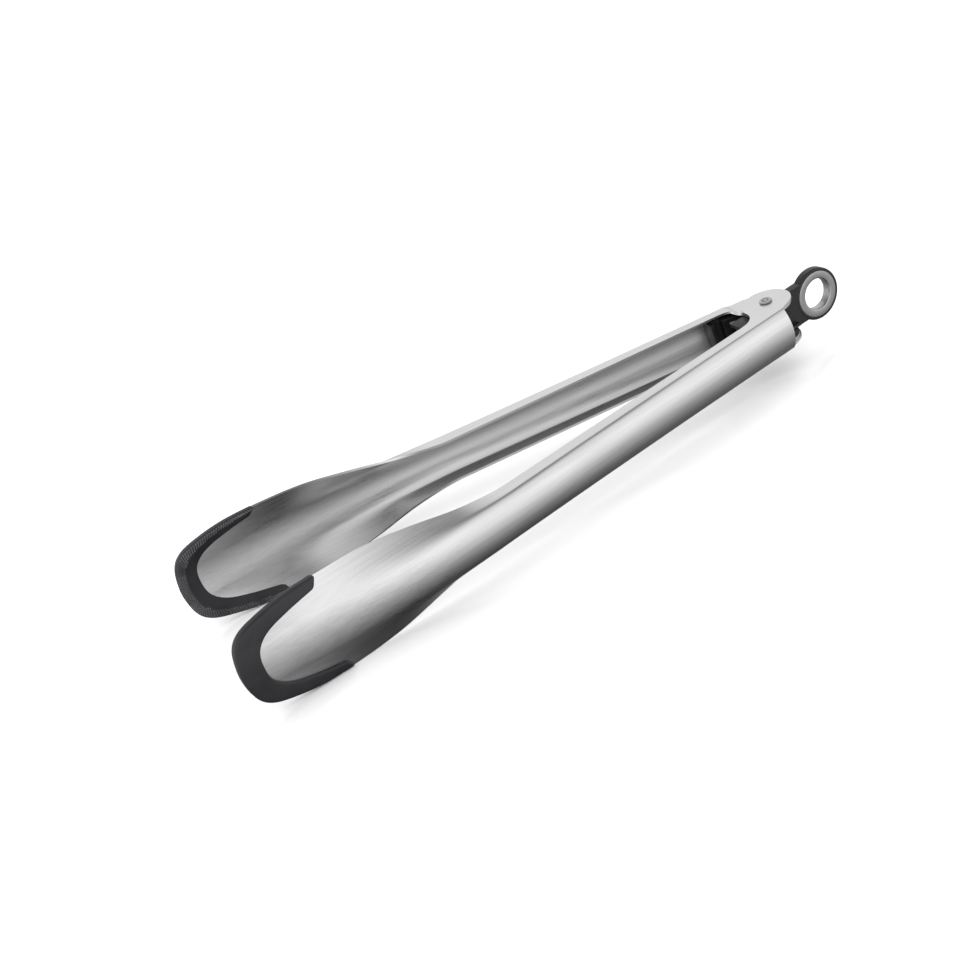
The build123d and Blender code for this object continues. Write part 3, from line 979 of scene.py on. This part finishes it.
@dataclass
class GripRim:
    """A jaw's silicone rim: a U shaped moulding round the sheet's edge, with studs on its gripping face."""

    side: Side
    above: float = 1.1
    leg_depth: float = 1.2
    tip_depth: float = 2.6
    stud_width: float = 1.0
    stud_height: float = 0.4
    stud_pitch: float = 1.15
    flat_share: float = 0.5
    rings: int = 190

    def edges(self) -> tuple[list[Pair], list[Pair]]:
        """The rim's outer and inner outline, as equally many (along, up) points."""
        half = [(SHAPE.rim_start + 2.4, 17.4), (241.0, 15.0), (251.0, 11.9), (256.6, 7.0)]
        bore = half + [(258.0, 0.0)] + [(u, -w) for u, w in reversed(half)]
        return catmull(SHAPE.jaw_edge(), self.rings), catmull(bore, self.rings)

    def depth(self, along: float) -> float:
        """Silicone inside the sheet: thin on the legs, thick at the tip."""
        share = (along - SHAPE.rim_start) / (267.0 - SHAPE.rim_start)
        return self.leg_depth + (self.tip_depth - self.leg_depth) * min(max(share, 0), 1)

    def profile(self, wide: float, depth: float) -> list[Pair]:
        """The rim's cross-section, from the bore outwards.

        Args:
            wide: Width from the bore's edge to the outer edge.
            depth: Silicone inside the sheet.

        Returns:
            Closed line of (distance from the bore, height above the sheet's outer face) points.
        """
        top, low = self.above, -(SHAPE.thickness + depth - self.stud_height)
        thin = -(SHAPE.thickness + 0.35)
        flat = wide * (1 - self.flat_share)
        line: list[Pair] = [(0.0, thin + 0.15), (0.0, top - 0.4)]
        line += corner((0.4, top - 0.4), 0.4, 180, 90)
        line += [(wide * share, top) for share in (0.35, 0.6)]
        line += corner((wide - 0.9, top - 0.9), 0.9, 90, 0)
        line += corner((wide - 0.6, low + 0.6), 0.6, 0, -90)
        line += [(flat + 0.25, low), (flat - 0.1, low + 0.04), (flat * 0.5, (low + thin) / 2)]
        line += [(0.35, thin), (0.1, thin + 0.04)]
        return line

    def ring(self, outer: Pair, inner: Pair, inset: float) -> list[Vector]:
        """One ring of the rim's surface.

        Args:
            outer: Point of the outer outline.
            inner: Point of the bore's outline.
            inset: How far the ring is drawn in, to round the legs' ends.

        Returns:
            The ring's points.
        """
        wide = math.dist(outer, inner)
        depth = self.depth((outer[0] + inner[0]) / 2)
        line = self.profile(wide, depth)
        middle = (self.above - SHAPE.thickness - depth) / 2
        tall = self.above + SHAPE.thickness + depth
        points = []
        for across, height in line:
            across = wide / 2 + (across - wide / 2) * (1 - 2 * inset / wide)
            height = middle + (height - middle) * (1 - 2 * inset / tall)
            points.append(self.on_face(outer, inner, across / wide, height))
        return points

    def on_face(self, outer: Pair, inner: Pair, share: float, height: float) -> Vector:
        """A point of the rim.

        Args:
            outer: Point of the outer outline.
            inner: Point of the bore's outline.
            share: How far from inner to outer.
            height: Height above the sheet's outer face.

        Returns:
            The point, in metres.
        """
        along, up = (i + share * (o - i) for o, i in zip(outer, inner))
        out, stretch = SHAPE.at(along).height(up)
        return self.side.at(along, out + height * stretch, up)

    def build(self) -> bpy.types.Object:
        """The rim's moulding."""
        outer, inner = self.edges()
        rings = [self.ring(o, i, 0.0) for o, i in zip(outer, inner)]
        for end, insets in ((0, (0.75, 0.3, 0.08)), (-1, (0.08, 0.3, 0.75))):
            picks = (0, 1, 2) if end == 0 else (-3, -2, -1)
            for k, inset in zip(picks, insets):
                rings[k] = self.ring(outer[k], inner[k], inset)
        obj = make_object(f"{self.side.label}_grip_rim_moulding", *ring_tube(rings, closed=False))
        outward(obj)
        return obj

    def studs(self, material: bpy.types.Material) -> bpy.types.Object:
        """The studs of the gripping face, in staggered rows.

        Args:
            material: The studs' finish, the rim's silicone painted much paler as a painted highlight for the
                light that the studs catch.

        Returns:
            The studs' object.
        """
        outer, inner = self.edges()
        length = sum(math.dist(p, q) for p, q in zip(outer, outer[1:]))
        count = int(length / self.stud_pitch)
        fine_outer, fine_inner = catmull(outer, 2 * count), catmull(inner, 2 * count)
        points, faces, runs = [], [], []
        margin = 2
        for i in range(margin, 2 * count - margin):
            o, n = fine_outer[i], fine_inner[i]
            wide = math.dist(o, n)
            low = -(SHAPE.thickness + self.depth((o[0] + n[0]) / 2) - self.stud_height)
            first, last = 1 - self.flat_share + 0.5 / wide, 1 - 0.75 / wide
            rows = max(2, int((last - first) * wide / (self.stud_pitch / 2)) + 1)
            ahead_o, ahead_n = fine_outer[i + 1], fine_inner[i + 1]
            for row in range(i % 2, rows, 2):
                share = last - row * self.stud_pitch / 2 / wide
                spot = self.on_face(o, n, share, low - self.stud_height * 0.05)
                ahead = self.on_face(ahead_o, ahead_n, share, low) - spot
                aside = self.on_face(o, n, share - 0.05, low) - spot
                a, b = ahead.normalized() * 1e-4, aside.normalized() * 1e-4
                base = len(points)
                points += [spot - a - b, spot + a - b, spot + a + b, spot - a + b]
                ring = [base, base + 1, base + 2, base + 3]
                away = spot - self.on_face(o, n, share, 0.0)
                faces.append(ring if a.cross(b).dot(away) > 0 else ring[::-1])
                runs.append(ahead.normalized())
        obj = make_object(f"{self.side.label}_grip_studs", points, faces)
        layer = obj.data.attributes.new("along", "FLOAT_VECTOR", "FACE")
        layer.data.foreach_set("vector", [v for run in runs for v in run])
        grow(obj, stud_tree(), {
            "Stud Width": self.stud_width * MM, "Stud Height": self.stud_height * MM,
            "Stud Material": material,
        })
        return obj

    def dress(self, rim: bpy.types.Object, studs: bpy.types.Object, material: bpy.types.Material) -> None:
        """Gives the rim its silicone and fixes both pieces to the arm's body."""
        dress(rim, material)
        settle(rim, self.side.body, "jaw_silicone", f"{self.side.label}_grip_rim")
        settle(studs, self.side.body, "jaw_silicone")


def corner(centre: Pair, radius: float, start: float, end: float) -> list[Pair]:
    """Points of a rounded corner.

    Args:
        centre: The rounding's centre.
        radius: Its radius.
        start: First angle in degrees.
        end: Last angle in degrees.

    Returns:
        Four points.
    """
    steps = 3
    angles = [math.radians(start + (end - start) * i / steps) for i in range(steps + 1)]
    return [(centre[0] + radius * math.cos(a), centre[1] + radius * math.sin(a)) for a in angles]


# ---------------------------------------------------------------- the rivet joint


@dataclass
class RivetJoint:
    """The rivet with its two dimpled heads, and the spacer tube on it."""

    shank: float = 2.2
    head: float = 2.7
    wall_half: float = 9.4
    head_height: float = 0.8
    dimple: float = 1.4
    dimple_depth: float = 1.4

    def build(self) -> bpy.types.Object:
        """The rivet, turned as one closed profile."""
        top = self.wall_half + self.head_height
        half: list[Pair] = [(0.0, top - self.dimple_depth), (self.dimple * 0.45, top - self.dimple_depth)]
        half += [(self.dimple * 0.8, top - self.dimple_depth + 0.12), (self.dimple - 0.12, top - 0.3)]
        half += [(self.dimple - 0.03, top - 0.1), (self.dimple + 0.12, top)]
        half += corner((self.head - 0.25, top - 0.25), 0.25, 90, 0)
        half += [(self.head, self.wall_half + 0.02), (self.shank, self.wall_half)]
        profile = half + [(r, -h) for r, h in reversed(half)]
        return lathe("pivot_rivet_turned", profile, PIVOT, Vector((0, 0, 1)), 48)

    def dress(self, obj: bpy.types.Object, material: bpy.types.Material) -> None:
        """Gives rivet and spacer their polish, and fixes the rivet."""
        dress(obj, material)
        settle(obj, Side.OUTER.body, "polished_steel", "pivot_rivet")
        dress(frame["nodes"]["pivot_spacer"], material)


def wire_tree() -> bpy.types.NodeTree:
    """Geometry nodes that draw round wire along a line of edges.

    Returns:
        The node tree, with inputs Wire Radius and Wire Material.
    """
    tree = bpy.data.node_groups.new("round_wire", "GeometryNodeTree")
    face = tree.interface
    face.new_socket("Geometry", in_out="INPUT", socket_type="NodeSocketGeometry")
    face.new_socket("Wire Radius", in_out="INPUT", socket_type="NodeSocketFloat")
    face.new_socket("Wire Material", in_out="INPUT", socket_type="NodeSocketMaterial")
    face.new_socket("Geometry", in_out="OUTPUT", socket_type="NodeSocketGeometry")
    given = add_node(tree, "NodeGroupInput").outputs
    line = add_node(tree, "GeometryNodeMeshToCurve", {"Mesh": given["Geometry"]})
    ring = add_node(tree, "GeometryNodeCurvePrimitiveCircle", {
        "Resolution": 16, "Radius": given["Wire Radius"],
    })
    tube = add_node(tree, "GeometryNodeCurveToMesh", {
        "Curve": line.outputs[0], "Profile Curve": ring.outputs["Curve"], "Fill Caps": True,
    })
    real = add_node(tree, "GeometryNodeRealizeInstances", {"Geometry": tube.outputs[0]})
    done = add_node(tree, "GeometryNodeSetMaterial", {
        "Geometry": real.outputs[0], "Material": given["Wire Material"],
    })
    add_node(tree, "NodeGroupOutput", {"Geometry": done.outputs[0]})
    return tree


@dataclass
class TorsionSpring:
    """The spring that holds the arms apart: a coil round the spacer, and a leg along each arm."""

    wire: float = 1.5
    coil: float = 4.1
    pitch: float = 1.6
    full_turns: int = 4
    leg: float = 16.0
    steps_per_turn: int = 48

    def build(self, material: bpy.types.Material) -> bpy.types.Object:
        """The spring's wire.

        Args:
            material: The wire's finish.

        Returns:
            The spring's object.
        """
        turns = self.full_turns + (math.pi - 2 * LEAN) / math.tau
        start = LEAN - math.pi / 2
        count = round(turns * self.steps_per_turn)
        rise = self.pitch * turns / count
        line = []
        for i in range(count + 1):
            angle = start + math.tau * turns * i / count
            line.append(Vector((
                self.coil * math.cos(angle), self.coil * math.sin(angle), rise * (i - count / 2),
            )))
        first, last = (line[1] - line[0]).normalized(), (line[-1] - line[-2]).normalized()
        leg_steps = 8
        legs = [self.leg * (1 - i / leg_steps) for i in range(leg_steps)]
        line = [line[0] - first * d for d in legs] + line + [line[-1] + last * d for d in reversed(legs)]
        obj = make_object("torsion_spring_wire", [PIVOT + p * MM for p in line], [])
        obj.data.edges.add(len(line) - 1)
        obj.data.edges.foreach_set("vertices", [k for i in range(len(line) - 1) for k in (i, i + 1)])
        obj.data.update()
        grow(obj, wire_tree(), {"Wire Radius": self.wire / 2 * MM, "Wire Material": material})
        obj.data.shade_smooth()
        outward(obj)
        return obj

    def dress(self, obj: bpy.types.Object) -> None:
        """Bakes the spring's place into its mesh and hides the CAD spring."""
        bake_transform(obj)
        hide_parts("torsion_spring")
        log.info("%s bends between the arms", obj.name)


# ---------------------------------------------------------------- plastic pieces and the ring


@dataclass
class HubInsert:
    """The plastic block in an arm's channel at the rivet."""

    side: Side

    def build(self) -> bpy.types.Object:
        """The block with its moulded edges rounded."""
        obj = node_copy(f"{self.side.label}_hub_insert", f"{self.side.label}_hub_insert_moulding")
        soften(obj, 0.22)
        return obj

    def dress(self, obj: bpy.types.Object, material: bpy.types.Material) -> None:
        """Gives the block its nylon and fixes it in its arm."""
        dress(obj, material)
        settle(obj, self.side.body, "black_nylon", f"{self.side.label}_hub_insert")


@dataclass
class LockSlide:
    """The lock slide's moulding and the steel eyelet in its ring."""

    ring_along: float = -24.6
    ring_thick: float = 4.4
    tube: float = 7.4
    bore: float = 6.6
    flange: float = 9.9
    flange_thick: float = 0.6

    def build_moulding(self) -> bpy.types.Object:
        """The slide with its moulded edges rounded."""
        obj = node_copy("lock_slide", "lock_slide_moulding")
        soften(obj, 0.25)
        return obj

    def build_eyelet(self) -> bpy.types.Object:
        """The eyelet, with a rolled lip at each end of its bore."""
        half = self.ring_thick / 2
        lip = 0.55
        side: list[Pair] = [(self.bore, 0.0)]
        side += [(self.bore + lip - dr, h) for dr, h in corner((0.0, half - lip), lip, 0, 90)]
        side += corner((self.flange - 0.25, half - 0.25), 0.25, 90, 0)
        side += [
            (self.flange, half - self.flange_thick), (self.tube, half - self.flange_thick), (self.tube, 0.0),
        ]
        profile = side[1:-1]
        whole = profile + [(r, -h) for r, h in reversed(profile)]
        centre = Side.OUTER.at(self.ring_along, 0, 0)
        axis = Vector((math.sin(LEAN), -math.cos(LEAN), 0))
        return lathe("ring_eyelet_rolled", whole, centre, axis, 96)

    def dress(
        self, moulding: bpy.types.Object, eyelet: bpy.types.Object,
        nylon: bpy.types.Material, steel: bpy.types.Material,
    ) -> None:
        """Gives both pieces their finish and fixes them to the slide's body."""
        dress(moulding, nylon)
        settle(moulding, "lock_slide_body", "black_nylon", "lock_slide")
        dress(eyelet, steel)
        settle(eyelet, "lock_slide_body", "polished_steel", "ring_eyelet")


# ---------------------------------------------------------------- studio


@dataclass
class Studio:
    """A pale floor, a graded soft surround with three lamps, and the camera."""

    floor_size: float = 12.0
    box_size: float = 1.4
    overhead_spread: float = 110.0
    distance: float = 0.7056
    azimuth: float = -14.83
    elevation: float = 28.09
    roll: float = 21.93
    lens: float = 66.3
    aim: tuple[float, float, float] = (-0.0268, 0.0022, 0.0212)

    def build_floor(self) -> None:
        """The floor, at the height that the tongs lie on."""
        half = self.floor_size / 2
        low = CAD_BOX[0][2]
        corners = [(-half, -half, low), (half, -half, low), (half, half, low), (-half, half, low)]
        floor = make_object("studio_floor", [Vector(c) for c in corners], [[0, 1, 2, 3]])
        material = bpy.data.materials.new("white_acrylic_sheet")
        material.use_nodes = True
        shader = material.node_tree.nodes["Principled BSDF"]
        shader.inputs["Base Color"].default_value = linear("#f4f4f4")
        shader.inputs["Roughness"].default_value = 0.12
        dress(floor, material)
        floor.visible_glossy = False

    def build_world(self) -> None:
        """A bright horizon that fades to a grey ceiling and a dark underside, and is stronger in front."""
        world = bpy.data.worlds.new("soft_studio")
        bpy.context.scene.world = world
        world.use_nodes = True
        tree = world.node_tree
        tree.nodes.clear()
        place = add_node(tree, "ShaderNodeTexCoord")
        split = add_node(tree, "ShaderNodeSeparateXYZ", {0: place.outputs["Generated"]})
        level = add_node(tree, "ShaderNodeMapRange", {
            "Value": split.outputs["Z"], "From Min": -1.0, "From Max": 1.0,
        })
        sky = ramp(tree, level.outputs["Result"], [
            (0.0, "#2e2e2e"), (0.03, "#3c3c3c"), (0.1, "#6e6e6e"), (0.22, "#9c9c9c"), (0.35, "#cacaca"),
            (0.5, "#f4f4f4"), (0.6, "#fbfbfb"), (0.7, "#e7e7e7"), (0.8, "#c6c6c6"), (0.93, "#a0a0a0"),
            (1.0, "#6c6c6c"),
        ])
        front = add_node(tree, "ShaderNodeMapRange", {
            "Value": split.outputs["Y"], "From Min": -0.4, "From Max": 0.5, "To Min": 1.5, "To Max": 1.0,
        })
        back = add_node(tree, "ShaderNodeBackground", {
            "Color": sky.outputs["Color"], "Strength": front.outputs["Result"],
        })
        add_node(tree, "ShaderNodeOutputWorld", {"Surface": back.outputs["Background"]})

    def build_lights(self) -> None:
        """Soft boxes behind and at the left, and a wide overhead light that shows in no metal."""
        boxes = (
            ("rear_soft_box", "AREA", (0.5, 1.6, 1.2), 2.5, True),
            ("left_soft_box", "AREA", (-1.4, 0.2, 1.0), 1.5, True),
            ("overhead_light", "SUN", (0.0, 0.0, 1.6), 2.6, False),
        )
        for name, kind, place, power, shows in boxes:
            data = bpy.data.lights.new(name, kind)
            data.energy = power
            if kind == "AREA":
                data.size = self.box_size
            else:
                data.angle = math.radians(self.overhead_spread)
            light = bpy.data.objects.new(name, data)
            bpy.context.scene.collection.objects.link(light)
            light.visible_glossy = shows
            light.location = place
            light.rotation_mode = "QUATERNION"
            light.rotation_quaternion = (Vector(self.aim) - Vector(place)).to_track_quat("-Z", "Y")

    def build_camera(self) -> None:
        """The camera, turned a little about its view so that the tongs rise to the right."""
        data = bpy.data.cameras.new("camera")
        data.lens = self.lens
        camera = bpy.data.objects.new("camera", data)
        bpy.context.scene.collection.objects.link(camera)
        a, e = math.radians(self.azimuth), math.radians(self.elevation)
        back = Vector((math.sin(a) * math.cos(e), -math.cos(a) * math.cos(e), math.sin(e)))
        camera.location = Vector(self.aim) + back * self.distance
        camera.rotation_mode = "QUATERNION"
        level = (-back).to_track_quat("-Z", "Y")
        axis = Vector((0, 0, -1))
        camera.rotation_quaternion = level @ Quaternion(axis, math.radians(self.roll))
        data.clip_start, data.clip_end = 0.01, 50.0
        bpy.context.scene.camera = camera
        bpy.context.scene.view_settings.view_transform = "Standard"

    def build(self) -> None:
        """The whole studio."""
        self.build_floor()
        self.build_world()
        self.build_lights()
        self.build_camera()
        log.info("studio ready")


def main() -> None:
    """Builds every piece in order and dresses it."""
    logging.basicConfig(level=logging.INFO, format="%(name)s: %(message)s")
    silicone = MouldedPolymer("matt_moulded_silicone", "#232327", "#17171a", 0.4, 0.54, 0.35, 0.12).make()
    # The studs' silicone is the rim's dark silicone painted much paler: a painted highlight for the light that
    # the raised studs catch.
    stud_highlight_silicone = MouldedPolymer("silicone_painted_stud_highlight", "#66666a", "#3c3c40", 0.5, 0.64, 0.25, 0.2).make()
    nylon = MouldedPolymer("grained_black_nylon", "#1a1a1b", "#101011", 0.32, 0.46, 0.45, 0.15).make()
    polished = TurnedSteel("polished_stainless").make()
    drawn = TurnedSteel("drawn_spring_steel", "#a8a8a6", "#7c7c7a", 0.2, 0.34, 0.25).make()
    arms = (
        PressedArm(Side.OUTER, rear=1.0, lobe_radius=10.6, hole_radius=2.2, joggle_depth=0.0),
        PressedArm(Side.INNER, rear=4.6, lobe_radius=10.2, hole_radius=2.25, joggle_depth=1.1),
    )
    for arm in arms:
        arm.dress(arm.build())
        rim = GripRim(arm.side)
        rim.dress(rim.build(), rim.studs(stud_highlight_silicone), silicone)
        insert = HubInsert(arm.side)
        insert.dress(insert.build(), nylon)
    rivet = RivetJoint()
    rivet.dress(rivet.build(), polished)
    spring = TorsionSpring()
    spring.dress(spring.build(drawn))
    slide = LockSlide()
    slide.dress(slide.build_moulding(), slide.build_eyelet(), nylon, polished)
    Studio().build()


if __name__ == "__main__":
    main()
